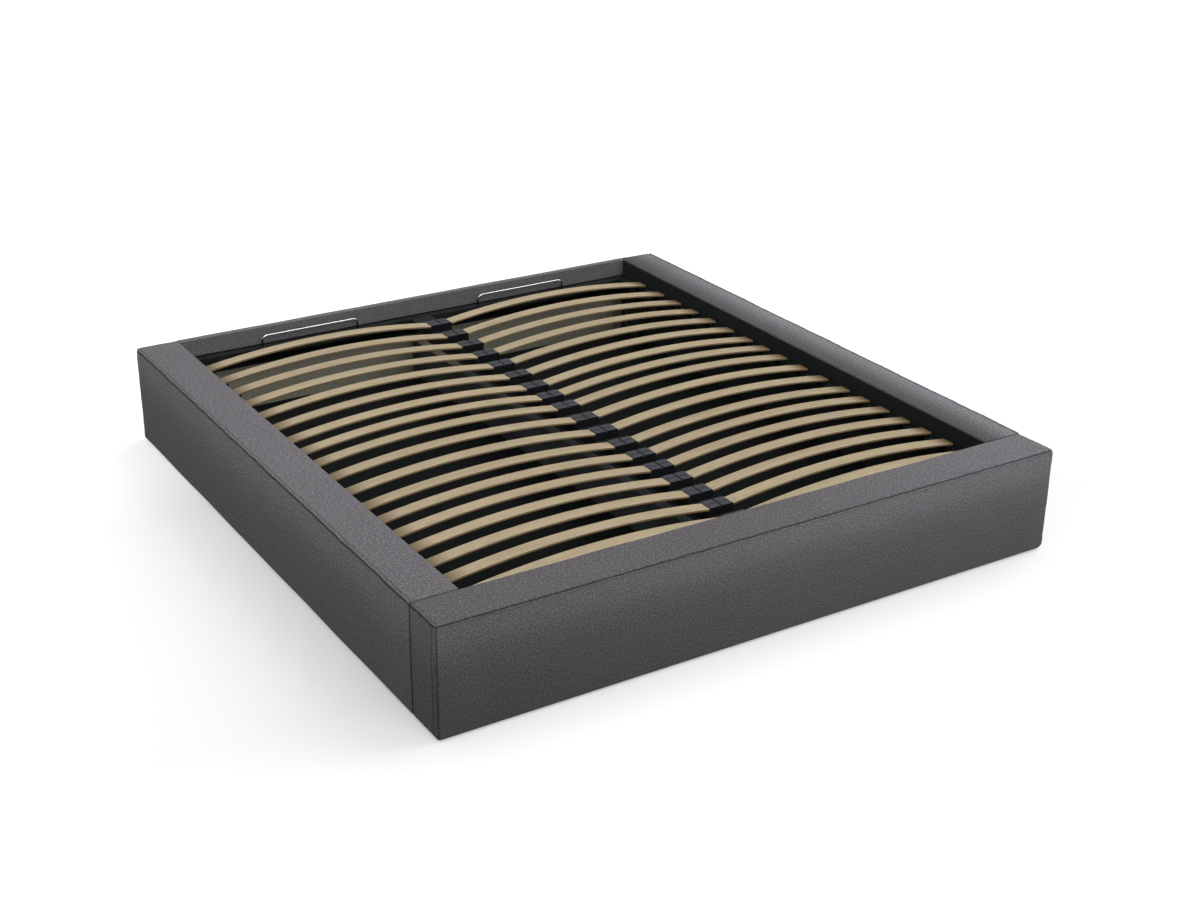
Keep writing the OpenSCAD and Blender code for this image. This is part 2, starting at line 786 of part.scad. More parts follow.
// Arc-shaped bar on the right with edges of radius e, larger than a slat by grow all round
module slat_arc(y, grow, e) {
    r_in = slat_r - slat_t - grow;
    w = slat_w + 2 * grow;
    translate([slat_mid, y, slat_centre_z]) rotate([90, 0, 0]) rotate([0, 0, 90 - slat_half])
        rotate_extrude(angle = 2 * slat_half, $fn = 1440)
            rounded([r_in, -w / 2], [slat_r + grow, w / 2], [e, e, e, e]);
}

module slat_row(i) {
    color(beech) both_sides() slat_arc(rows[i], 0, slat_edge_r);
}

// Moulded holder over the middle beam: a pocket on each side takes a slat end
module centre_holder(y) {
    half = holder_l / 2;
    difference() {
        translate([0, y, 0]) union() {
            along_y(-holder_w / 2, holder_w / 2) {
                x_in = half - 3;
                polygon([[-half, frame_top], [half, frame_top], [half, holder_top - 4], [x_in, holder_top],
                    [-x_in, holder_top], [-half, holder_top - 4]]);
            }
        }
        both_sides() slat_arc(y, seat_gap, 0);
        translate([0, y, holder_top]) {
            cube([holder_l + eps, groove_w, 2 * groove_d], center = true);
            cube([2 * groove_w, holder_w + eps, 6 * groove_d], center = true);
        }
    }
}

module centre_holders() {
    color(plastic) {
        for (y = rows) centre_holder(y);
        pegs_below(0);
    }
}

// The pegs stop at the face of the tube, where each holder takes over
module pegs_below(x) {
    for (y = rows) translate([x, y, frame_top - peg_l]) cylinder(h = peg_l, r = peg_d / 2, $fn = 24);
}

// Pads on the side tubes, cut to the underside of the bowed slats
module side_pads() {
    pad_l = slat_w - 8;
    under_r = slat_r - slat_t - seat_gap;
    color(plastic) both_sides() {
        intersection() {
            for (y = rows) translate([0, y, 0])
                block([pad_x - pad_w / 2, -pad_l / 2, frame_top], [pad_x + pad_w / 2, pad_l / 2, frame_top + slat_rise]);
            along_y(frame_foot, frame_head) translate([slat_mid, slat_centre_z])
                circle(r = under_r, $fn = 1440);
        }
        pegs_below(pad_peg_x);
    }
}

// The strut's parts are drawn along +Y from the stud and then turned into place
module at_stud(s, stud, angle) {
    on_side(s) translate([strut_x, stud[0], stud[1]]) rotate([angle, 0, 0]) children();
}

module eye_end() {
    rotate([0, 90, 0]) cylinder(h = eye_t, r = eye_r, center = true, $fn = 48);
    rotate([-90, 0, 0]) cylinder(h = eye_neck, r = eye_t / 2 - 1, $fn = 48);
}

module eye_bore() {
    rotate([0, 90, 0]) cylinder(h = eye_t + 2 * eps, r = stud_d / 2 + pin_gap, center = true, $fn = 48);
}

module strut_rod(s) {
    color("silver") at_stud(s, lower_stud, strut_rise) difference() {
        union() {
            eye_end();
            rotate([-90, 0, 0]) cylinder(h = rod_l, r = rod_d / 2, $fn = 48);
            translate([0, rod_l - piston_l, 0]) rotate([-90, 0, 0])
                cylinder(h = piston_l, r = strut_d / 2 - strut_wall - free_gap, $fn = 48);
        }
        eye_bore();
    }
}

module strut_cylinder(s) {
    bore_r = strut_d / 2 - strut_wall;
    color(steel_black) at_stud(s, upper_stud, strut_rise + 180) difference() {
        union() {
            eye_end();
            rotate([-90, 0, 0]) rotate_extrude($fn = 64)
                polygon([[0, eye_neck], [bore_r, eye_neck], [strut_d / 2, eye_neck + cap_t],
                    [strut_d / 2, cylinder_l - 2], [bore_r, cylinder_l], [0, cylinder_l]]);
        }
        eye_bore();
        translate([0, eye_neck + cap_t, 0]) rotate([-90, 0, 0])
            cylinder(h = cylinder_l - eye_neck - cap_t - mouth_t, r = bore_r, $fn = 64);
        translate([0, cylinder_l - mouth_t - eps, 0]) rotate([-90, 0, 0])
            cylinder(h = mouth_t + 2 * eps, r = guide_r, $fn = 48);
    }
}

rail_core(-1);  // rail_core_left
rail_core(1);  // rail_core_right
foot_core();
head_panel();
rail_foam(-1);  // rail_foam_left
rail_foam(1);  // rail_foam_right
foot_foam();
rail_cover(-1);  // rail_cover_left
rail_cover(1);  // rail_cover_right
foot_cover();
head_cover();
wall_linings();
floor_panel(-rail_in, -divider_t / 2);  // floor_panel_left
floor_panel(divider_t / 2, rail_in);  // floor_panel_right
floor_battens();
divider_board();
divider_rail();
floor_glides();
corner_brackets();
bracket_screws();
lift_plate(-1);  // lift_plate_left
lift_plate(1);  // lift_plate_right
pivot_pins();
pivot_washers();
rest_brackets();
rest_pads();
side_tube(-1);  // side_tube_left
side_tube(1);  // side_tube_right
head_tube();
foot_tube();
centre_beam();
tube_caps();
pivot_bushes();
strut_lugs();
mattress_loops();
centre_holders();
side_pads();
strut_rod(-1);  // strut_rod_left
strut_rod(1);  // strut_rod_right
strut_cylinder(-1);  // strut_cylinder_left
strut_cylinder(1);  // strut_cylinder_right
for (i = [0 : row_n - 1]) slat_row(i);
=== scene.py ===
import math

import bpy
import numpy as np
from mathutils import Matrix, Vector


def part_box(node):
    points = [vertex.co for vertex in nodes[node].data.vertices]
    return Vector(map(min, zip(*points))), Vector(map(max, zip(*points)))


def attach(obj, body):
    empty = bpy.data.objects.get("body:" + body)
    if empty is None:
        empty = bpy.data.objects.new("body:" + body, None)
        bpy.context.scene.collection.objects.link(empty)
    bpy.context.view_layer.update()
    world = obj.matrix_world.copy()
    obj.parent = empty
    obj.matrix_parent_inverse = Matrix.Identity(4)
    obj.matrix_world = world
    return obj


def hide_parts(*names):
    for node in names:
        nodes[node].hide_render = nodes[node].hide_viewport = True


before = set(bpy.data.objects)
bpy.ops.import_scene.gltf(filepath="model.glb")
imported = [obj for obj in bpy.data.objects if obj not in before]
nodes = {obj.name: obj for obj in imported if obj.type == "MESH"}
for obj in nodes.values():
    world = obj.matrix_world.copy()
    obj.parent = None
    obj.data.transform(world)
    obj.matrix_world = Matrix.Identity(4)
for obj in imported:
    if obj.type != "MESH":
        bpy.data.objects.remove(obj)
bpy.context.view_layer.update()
scene = bpy.context.scene

# ---------------------------------------------------------------- places from the frame
foot_lo, foot_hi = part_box("foot_cover")
head_lo, head_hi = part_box("head_cover")
rail_lo, rail_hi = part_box("rail_cover_right")
RAIL_IN = rail_lo.x
FOOT_IN = foot_hi.y
HALF_W = rail_hi.x
BED_H = rail_hi.z
LINING_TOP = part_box("wall_linings")[1].z
PANEL_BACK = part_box("head_panel")[1].y
LOOP_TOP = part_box("mattress_loops")[1].z

# ---------------------------------------------------------------- sizes in metres
FABRIC = 0.002  # covers of the rails and the foot board
HEAD_FABRIC = 0.0028
EDGE_R = 0.009  # edges with foam under them
INNER_R = 0.003  # edges on bare board
JOINT_R = 0.007  # edges where a rail meets the foot board
HEM = 0.046  # cloth turned under at the bottom
HEAD_CLOTH_END = BED_H - 0.062  # lower end of the cloth on the head board's inner face
STRIP_END = BED_H - 0.137  # lower end of the black strip below that cloth
PANEL_SHADE_END = BED_H - 0.195  # painted shade on the head panel grows from here up to the strip
COVER_GAP = 0.0004  # between a cover and the next wall
FOOT_GAP = 0.0002
SIDE_CROWN, TOP_CROWN, BACK_CROWN, HEAD_CROWN = 0.0040, 0.0018, 0.0016, 0.0009
ON_FACE = 1e-7  # a point this close to a plane lies on it
ON_TOP = 0.002  # a point this close to the rim's height lies on its top

# Gaps between mesh lines: small at the inner, outer, end, side and lower edges of a cover
INNER_GAP, OUTER_GAP, END_GAP, SIDE_GAP, LOW_GAP = 0.0009, 0.0014, 0.0016, 0.0015, 0.0030
STEP, LONG_STEP = 0.013, 0.008
SHORT_FLAT = 0.006

# Faces of a box as (axis, side)
LEFT, RIGHT, FRONT, BACK, UNDER, TOP = [(axis, side) for axis in range(3) for side in (0, 1)]


# ---------------------------------------------------------------- shader helpers
class Shader:
    """A material with one Principled shader, and short calls for its nodes."""

    def __init__(self, name, rough=0.5, metal=0.0, specular=0.5, **sockets):
        self.mat = bpy.data.materials.new(name)
        self.mat.use_nodes = True
        self.tree = self.mat.node_tree
        self.main = next(n for n in self.tree.nodes if n.type == "BSDF_PRINCIPLED")
        self.main.inputs["Roughness"].default_value = rough
        self.main.inputs["Metallic"].default_value = metal
        self.main.inputs["Specular IOR Level"].default_value = specular
        for k, v in sockets.items():
            self.main.inputs[k.replace("_", " ")].default_value = v
        own = self.add("ShaderNodeTexCoord")
        self.coords, self.facing = own.outputs["Object"], own.outputs["Normal"]

    def add(self, kind, **settings):
        n = self.tree.nodes.new(kind)
        for k, v in settings.items():
            setattr(n, k, v)
        return n

    def link(self, value, socket):
        """Joins a socket, or sets a plain value. Colours are given without their alpha."""
        if isinstance(value, bpy.types.NodeSocket):
            self.tree.links.new(value, socket)
        elif socket.type == "RGBA":
            socket.default_value = (*value, 1.0)
        else:
            socket.default_value = value

    def scaled(self, scale, source=None, turn=(0, 0, 0)):
        n = self.add("ShaderNodeMapping")
        self.link(source or self.coords, n.inputs["Vector"])
        n.inputs["Scale"].default_value = scale
        n.inputs["Rotation"].default_value = turn
        return n.outputs["Vector"]

    def noise(self, scale, detail=2.0, rough=0.5, source=None, distort=0.0):
        n = self.add("ShaderNodeTexNoise")
        self.link(source or self.coords, n.inputs["Vector"])
        n.inputs["Scale"].default_value = scale
        n.inputs["Detail"].default_value = detail
        n.inputs["Roughness"].default_value = rough
        n.inputs["Distortion"].default_value = distort
        return n.outputs["Fac"]

    def cells(self, scale, source=None, output="Distance"):
        n = self.add("ShaderNodeTexVoronoi")
        self.link(source or self.coords, n.inputs["Vector"])
        n.inputs["Scale"].default_value = scale
        return n.outputs[output]

    def attribute(self, name):
        return self.add("ShaderNodeAttribute", attribute_name=name).outputs["Fac"]

    def ramp(self, value, stops):
        """stops are (place, colour or grey)."""
        n = self.add("ShaderNodeValToRGB")
        self.link(value, n.inputs["Fac"])
        while len(n.color_ramp.elements) < len(stops):
            n.color_ramp.elements.new(0.5)
        for e, (at, colour) in zip(n.color_ramp.elements, stops):
            e.position = at
            e.color = (*(colour if hasattr(colour, "__len__") else (colour,) * 3), 1.0)
        return n.outputs["Color"]

    def span(self, value, a, b, c=0.0, d=1.0):
        """Maps a..b to c..d."""
        n = self.add("ShaderNodeMapRange")
        self.link(value, n.inputs["Value"])
        for k, v in zip(("From Min", "From Max", "To Min", "To Max"), (a, b, c, d)):
            n.inputs[k].default_value = v
        return n.outputs["Result"]

    def spread(self, value, low, high):
        """Maps the usual range of a noise to low..high."""
        return self.span(value, 0.3, 0.7, low, high)

    def calc(self, kind, a, b=0.0):
        n = self.add("ShaderNodeMath", operation=kind)
        for value, socket in zip((a, b), n.inputs):
            self.link(value, socket)
        return n.outputs["Value"]

    def axis(self, which, source=None):
        n = self.add("ShaderNodeSeparateXYZ")
        self.link(source or self.coords, n.inputs["Vector"])
        return n.outputs[which]

    def facing_y(self):
        """1 on faces that look along the bed, 0 on all that look across it or up."""
        return self.calc("ABSOLUTE", self.axis("Y", self.facing))

    def mix(self, factor, a, b):
        n = self.add("ShaderNodeMix", data_type="RGBA", clamp_factor=True)
        self.link(factor, n.inputs["Factor"])
        for value, name in ((a, "A"), (b, "B")):
            self.link(value, next(s for s in n.inputs if s.name == name and s.type == "RGBA"))
        return next(s for s in n.outputs if s.type == "RGBA")

    def shade(self, colour, factor):
        """A colour times a grey factor."""
        n = self.add("ShaderNodeVectorMath", operation="SCALE")
        self.link(colour, n.inputs[0])
        self.link(factor, n.inputs["Scale"])
        return n.outputs["Vector"]

    def colour(self, value):
        self.link(value, self.main.inputs["Base Color"])

    def roughness(self, value):
        self.link(value, self.main.inputs["Roughness"])

    def bump(self, *heights):
        """heights are (value, distance in metres), laid one on another."""
        last = None
        for value, distance in heights:
            n = self.add("ShaderNodeBump")
            n.inputs["Strength"].default_value = 1.0
            n.inputs["Distance"].default_value = distance
            self.link(value, n.inputs["Height"])
            if last is not None:
                self.tree.links.new(last, n.inputs["Normal"])
            last = n.outputs["Normal"]
        self.tree.links.new(last, self.main.inputs["Normal"])


# ---------------------------------------------------------------- materials
def upholstery():
    """Charcoal heathered weave: mixed yarns over a plain weave, with painted shade in the seams.

    The UV layer UVMap carries the weave and Grain the flecks. The attribute seam holds painted
    shade above zero and a painted highlight below it, and a second attribute holds painted light
    and shade as a factor on the tone.
    """
    s = Shader("upholstery", rough=0.95, specular=0.12,
               Sheen_Weight=0.11, Sheen_Roughness=0.45, Sheen_Tint=(0.86, 0.85, 0.88, 1))
    pitch, wander = 0.0031, (0.0014, 0.0014, 0.0)
    uv = s.add("ShaderNodeTexCoord").outputs["UV"]
    bent = s.add("ShaderNodeVectorMath", operation="MULTIPLY_ADD")
    drift = s.add("ShaderNodeTexNoise")
    s.link(uv, drift.inputs["Vector"])
    drift.inputs["Scale"].default_value = 90.0
    drift.inputs["Detail"].default_value = 1.0
    s.link(drift.outputs["Color"], bent.inputs[0])
    bent.inputs[1].default_value = wander
    s.link(uv, bent.inputs[2])
    u = s.calc("DIVIDE", s.axis("X", bent.outputs["Vector"]), pitch)
    v = s.calc("DIVIDE", s.axis("Y", bent.outputs["Vector"]), pitch)
    warp = s.calc("ABSOLUTE", s.calc("SINE", s.calc("MULTIPLY", u, math.pi)))
    weft = s.calc("ABSOLUTE", s.calc("SINE", s.calc("MULTIPLY", v, math.pi)))
    parity = s.calc("FLOORED_MODULO",
                    s.calc("ADD", s.calc("FLOOR", u), s.calc("FLOOR", v)), 2.0)
    over = s.calc("ADD", s.calc("MULTIPLY", parity, s.calc("POWER", warp, 0.6)),
                  s.calc("MULTIPLY", s.calc("SUBTRACT", 1.0, parity),
                         s.calc("POWER", weft, 0.6)))
    yarn = s.calc("MULTIPLY", over, s.span(s.calc("MULTIPLY", warp, weft), 0.0, 0.25, 0.35, 1.0))
    grain = s.add("ShaderNodeUVMap", uv_map="Grain").outputs["UV"]
    flecks = s.noise(200.0, 3.0, 0.66, grain)
    blotch = s.noise(95.0, 2.0, 0.6, grain)
    fine = s.noise(480.0, 2.0, 0.55)
    patch = s.noise(9.0, 2.0, 0.5)
    tone = s.ramp(flecks, [(0.34, (0.0730, 0.0692, 0.0748)), (0.47, (0.1055, 0.1000, 0.1081)),
                           (0.55, (0.1330, 0.1260, 0.1362)), (0.66, (0.2000, 0.1896, 0.2049))])
    tone = s.shade(tone, s.spread(fine, 0.89, 1.11))
    tone = s.shade(tone, s.span(yarn, 0.0, 1.0, 0.82, 1.07))
    tone = s.shade(tone, s.spread(patch, 0.97, 1.03))
    tone = s.shade(tone, s.spread(blotch, 0.96, 1.04))
    # Painted light and shade by height: darker towards the floor, lightest just below the rim,
    # less light on the top faces. Half of the factor by height, because a ramp ends at 1
    painted_height_shade = s.ramp(s.span(s.axis("Z"), 0.0, BED_H),
                  [(0.0, 0.36), (0.30, 0.40), (0.52, 0.45), (0.70, 0.56), (0.80, 0.68),
                   (0.955, 0.76), (0.985, 0.53)])
    tone = s.shade(tone, s.span(painted_height_shade, 0.0, 1.0, 0.0, 2.0))
    # Painted light and shade over the walls, a factor given for each point
    tone = s.shade(tone, s.attribute("painted_light"))
    # Painted shade in the stitched grooves, the dips behind the welts and the joints between walls,
    # and a painted highlight on the welts
    seam = s.attribute("seam")
    tone = s.shade(tone, s.span(seam, 0.0, 1.0, 1.0, 0.22))
    tone = s.shade(tone, s.span(seam, -1.0, 0.0, 1.28, 1.0))
    s.colour(tone)
    s.roughness(s.spread(fine, 0.88, 0.98))
    s.bump((flecks, 0.0002), (yarn, 0.0004), (fine, 0.0003))
    return s.mat


def fleece():
    s = Shader("fleece", rough=1.0, specular=0.06, Sheen_Weight=0.04, Sheen_Roughness=0.6)
    fibre = s.noise(900.0, 3.0, 0.7)
    patch = s.noise(14.0, 2.0)
    tone = s.ramp(fibre, [(0.3, (0.0078, 0.0102, 0.0097)), (0.7, (0.0182, 0.0222, 0.0210))])
    s.colour(s.shade(tone, s.spread(patch, 0.85, 1.15)))
    s.bump((fibre, 0.0006), (s.noise(220.0), 0.0005))
    return s.mat


def beech(name, seed):
    """Lacquered bent beech with the grain along X; painted shade browns the tips beside the rails
    and the edges that look along the bed.
    """
    s = Shader(name, rough=0.42, specular=0.4, Coat_Weight=0.12, Coat_Roughness=0.35)
    shifted = s.add("ShaderNodeVectorMath", operation="ADD")
    s.link(s.coords, shifted.inputs[0])
    shifted.inputs[1].default_value = (seed * 1.37, seed * 0.71, seed * 2.03)
    here = shifted.outputs["Vector"]
    grain = s.noise(1.0, 4.0, 0.6, s.scaled((5.0, 260.0, 200.0), here))
    bands = s.noise(1.0, 2.0, 0.5, s.scaled((1.6, 45.0, 30.0), here), distort=0.4)
    pores = s.noise(1.0, 2.0, 0.6, s.scaled((95.0, 1500.0, 1500.0), here))
    slat_tone = s.noise(1.0, 0.0, 0.5, s.scaled((0.35, 8.7, 0.01), here))
    tone = s.ramp(grain, [(0.28, (0.243, 0.185, 0.106)), (0.50, (0.331, 0.264, 0.163)),
                          (0.72, (0.397, 0.323, 0.209))])
    tone = s.mix(s.span(bands, 0.52, 0.75, 0.0, 0.45), tone, (0.245, 0.185, 0.100))
    tone = s.shade(tone, s.span(pores, 0.30, 0.50, 0.78, 1.0))
    tone = s.shade(tone, s.spread(slat_tone, 0.93, 1.07))
    # Painted shade from the rails over the last few centimetres of each slat
    from_middle = s.calc("ABSOLUTE", s.axis("X"))
    rail_shade_at_tip = s.calc("ADD", from_middle, s.calc("MULTIPLY", grain, 0.03))
    tone = s.mix(s.span(rail_shade_at_tip, 0.832, 0.892, 0.0, 0.94), tone, (0.100, 0.062, 0.024))
    # Painted shade on the edges that look along the bed
    tone = s.mix(s.span(s.facing_y(), 0.30, 0.95, 0.0, 0.80), tone, (0.150, 0.102, 0.046))
    s.colour(tone)
    s.roughness(s.spread(grain, 0.38, 0.52))
    s.bump((grain, 0.00018), (pores, 0.00010))
    return s.mat


def moulded():
    """Dark plastic; painted shade makes the faces that look along the bed much darker, and they are
    duller.
    """
    s = Shader("moulded_plastic", rough=0.55, specular=0.4)
    grit = s.noise(1400.0, 2.0, 0.6)
    worn = s.noise(60.0, 3.0, 0.6)
    tone = s.ramp(worn, [(0.3, (0.023, 0.025, 0.030)), (0.7, (0.036, 0.039, 0.046))])
    front = s.facing_y()
    # Painted shade on the faces that look along the bed
    s.colour(s.shade(tone, s.span(front, 0.3, 0.8, 0.9, 0.24)))
    s.link(s.span(front, 0.3, 0.8, 0.35, 0.05), s.main.inputs["Specular IOR Level"])
    s.roughness(s.spread(worn, 0.48, 0.64))
    s.bump((grit, 0.00012))
    return s.mat


def rubber():
    s = Shader("black_rubber", rough=0.8, specular=0.06)
    s.colour(s.ramp(s.noise(90.0, 3.0, 0.6),
                    [(0.3, (0.0040, 0.0043, 0.0045)), (0.7, (0.0080, 0.0085, 0.0090))]))
    s.bump((s.noise(900.0), 0.0001))
    return s.mat


def powder_coat():
    s = Shader("powder_coat", rough=0.5, specular=0.2)
    peel = s.noise(700.0, 2.0, 0.5)
    dust = s.noise(25.0, 4.0, 0.6)
    s.colour(s.ramp(dust, [(0.35, (0.0075, 0.0085, 0.0085)), (0.75, (0.0150, 0.0165, 0.0165))]))
    s.roughness(s.spread(dust, 0.42, 0.60))
    s.bump((peel, 0.00015))
    return s.mat


def chrome(name, dark_below=None):
    """Polished wire or rod. Below the height given its colour darkens: a painted reflection of the
    dark inside of the bed.
    """
    s = Shader(name, rough=0.16, metal=1.0)
    haze = s.noise(120.0, 3.0, 0.6)
    tone = s.ramp(haze, [(0.3, (0.58, 0.59, 0.61)), (0.7, (0.70, 0.71, 0.73))])
    # Painted reflection: the colour gets darker below that height
    if dark_below:
        tone = s.shade(tone, s.span(s.axis("Z"), dark_below - 0.012, dark_below, 0.16, 1.0))
    s.colour(tone)
    s.roughness(s.spread(haze, 0.12, 0.24))
    s.bump((s.noise(500.0), 0.00002))
    return s.mat


def zinc(name, low, high, metal=1.0, sides=None):
    """Plated steel between two tones. sides is the factor for the faces that look across the
    bed or up, which lie in the shade of the walls."""
    s = Shader(name, rough=0.4, metal=metal, specular=0.2)
    spangle = s.cells(130.0)
    brushed = s.noise(1.0, 3.0, 0.6, s.scaled((60.0, 900.0, 120.0)))
    tone = s.ramp(spangle, [(0.0, low), (0.8, high)])
    if sides:
        tone = s.shade(tone, s.span(s.facing_y(), 0.3, 0.8, sides, 1.0))
    s.colour(tone)
    s.roughness(s.spread(brushed, 0.32, 0.52))
    s.bump((brushed, 0.00004))
    return s.mat


def chipboard():
    """Raw particle board: chips of many tones under fine dust, and a black strip near its top;
    painted shade darkens it towards the strip and towards its right end.
    """
    s = Shader("chipboard", rough=0.85, specular=0.2)
    chip, small_chip = 210.0, 620.0
    warped = s.scaled((1.0, 1.0, 1.6), None, (0.2, 0.1, 0.4))
    chips = s.cells(chip, warped, "Color")
    fine = s.cells(small_chip, warped, "Color")
    dust = s.noise(700.0, 3.0, 0.6)
    a = s.ramp(s.axis("X", chips), [(0.0, (0.158, 0.150, 0.113)), (0.5, (0.210, 0.202, 0.156)),
                                    (1.0, (0.277, 0.268, 0.208))])
    b = s.ramp(s.axis("X", fine), [(0.0, (0.142, 0.133, 0.098)), (1.0, (0.269, 0.260, 0.202))])
    tone = s.mix(0.45, a, b)
    height = s.axis("Z")
    # Painted shade, growing up towards the strip
    tone = s.shade(tone, s.span(height, PANEL_SHADE_END, STRIP_END, 1.0, 0.72))
    # Painted shade, growing towards the right
    tone = s.shade(tone, s.span(s.axis("X"), -0.4, 0.7, 1.08, 0.82))
    strip = s.calc("GREATER_THAN", height, STRIP_END)
    tone = s.mix(strip, tone, (0.0034, 0.0045, 0.0042))
    s.colour(s.shade(tone, s.spread(dust, 0.88, 1.12)))
    s.bump((dust, 0.0002), (s.cells(chip, warped), 0.0002))
    return s.mat


def softwood():
    s = Shader("softwood", rough=0.6, specular=0.3)
    rings = s.noise(1.0, 3.0, 0.55, s.scaled((30.0, 2.0, 30.0)), distort=0.6)
    pores = s.noise(1.0, 2.0, 0.6, s.scaled((800.0, 40.0, 800.0)))
    tone = s.ramp(rings, [(0.30, (0.215, 0.150, 0.078)), (0.50, (0.330, 0.245, 0.140)),
                          (0.70, (0.410, 0.320, 0.195))])
    s.colour(s.shade(tone, s.span(pores, 0.3, 0.6, 0.82, 1.0)))
    s.bump((rings, 0.0003), (pores, 0.0001))
    return s.mat


def dark_board(name, low, high, lit_edge_from=None):
    """Paper-faced board with a fine leather-like grain. Its top edge is bare, lighter wood, shown
    as painted light only from the last argument on towards the head, and left in painted shade
    elsewhere."""
    s = Shader(name, rough=0.7, specular=0.06)
    cell = s.cells(520.0)
    dust = s.noise(7.0, 5.0, 0.6)
    tone = s.ramp(dust, [(0.35, low), (0.70, high)])
    if lit_edge_from:
        # The tone is the bare wood; that it shows only towards the head is painted light
        lit_bare_edge = s.calc("MULTIPLY", s.span(s.axis("Y"), lit_edge_from, lit_edge_from + 0.10),
                      s.span(s.axis("Z", s.facing), 0.7, 0.95))
        tone = s.mix(lit_bare_edge, tone, (0.190, 0.158, 0.118))
    s.colour(tone)
    s.roughness(s.spread(dust, 0.6, 0.8))
    s.bump((cell, 0.00015))
    return s.mat


# ---------------------------------------------------------------- sheets of cloth
def ticks(a, b, gap_a, gap_b, step, flat=0.020):
    """Places from a to b, close together near an end where its gap is given.

    The gap stays the same for the length flat and then grows up to step.
    """
    growth, longest_run = 1.3, (b - a) * 0.45

    def run(gap):
        at, out = 0.0, [0.0]
        while gap and gap < step and at < longest_run:
            at += gap
            out.append(at)
            if at >= flat:
                gap *= growth
        return out

    left, right = run(gap_a), run(gap_b)
    lo, hi = a + left[-1], b - right[-1]
    n = max(1, math.ceil((hi - lo) / step))
    middle = [lo + (hi - lo) * i / n for i in range(1, n)]
    return [a + t for t in left] + middle + [b - t for t in reversed(right)]


def plane(lo, hi, face):
    """Where a face of a box lies on its axis."""
    axis, side = face
    return (hi if side else lo)[axis]


def box_grid(xs, ys, zs, keep):
    """The outside of a box as a grid of quads. keep(face, centre) says which quads stay."""
    axes = (xs, ys, zs)
    index, points, faces, kinds = {}, [], [], []

    def vertex(ijk):
        if ijk not in index:
            index[ijk] = len(points)
            points.append([axes[a][ijk[a]] for a in range(3)])
        return index[ijk]

    for face in (LEFT, RIGHT, FRONT, BACK, UNDER, TOP):
        axis, side = face
        u, v = (axis + 1) % 3, (axis + 2) % 3
        at = (len(axes[axis]) - 1) * side
        for i in range(len(axes[u]) - 1):
            for j in range(len(axes[v]) - 1):
                centre = {u: 0.5 * (axes[u][i] + axes[u][i + 1]),
                          v: 0.5 * (axes[v][j] + axes[v][j + 1])}
                if not keep(face, centre):
                    continue
                quad = []
                for di, dj in ((0, 0), (1, 0), (1, 1), (0, 1)):
                    ijk = [0, 0, 0]
                    ijk[axis], ijk[u], ijk[v] = at, i + di, j + dj
                    quad.append(vertex(tuple(ijk)))
                faces.append(quad if side else quad[::-1])
                kinds.append(face)
    return np.array(points), faces, kinds


def round_edges(p, lo, hi, a, b, radii):
    """Rounds the box's four edges that run along the third axis. radii[side of a][side of b]."""
    inside = 1e-9
    for sa in (0, 1):
        for sb in (0, 1):
            r = radii[sa][sb]
            if r <= 0:
                continue
            ga, gb = (1 if sa else -1), (1 if sb else -1)
            ca = (hi[a] - r) if sa else (lo[a] + r)
            cb = (hi[b] - r) if sb else (lo[b] + r)
            da, db = (p[:, a] - ca) * ga, (p[:, b] - cb) * gb
            m = (da > inside) & (db > inside)
            f = np.maximum(da[m], db[m]) / np.hypot(da[m], db[m])
            p[m, a] = ca + ga * da[m] * f
            p[m, b] = cb + gb * db[m] * f


def waves(t, lengths, phase):
    """A smooth irregular curve along t made of a few waves, about -1 to 1."""
    out = np.zeros_like(t)
    for i, w in enumerate(lengths):
        out += np.sin(2 * math.pi * t / w + phase * (1.7 + i) + 2.1 * i * i)
    return out / len(lengths) ** 0.75


def bell(d, middle, width):
    return np.exp(-((d - middle) / width) ** 2)


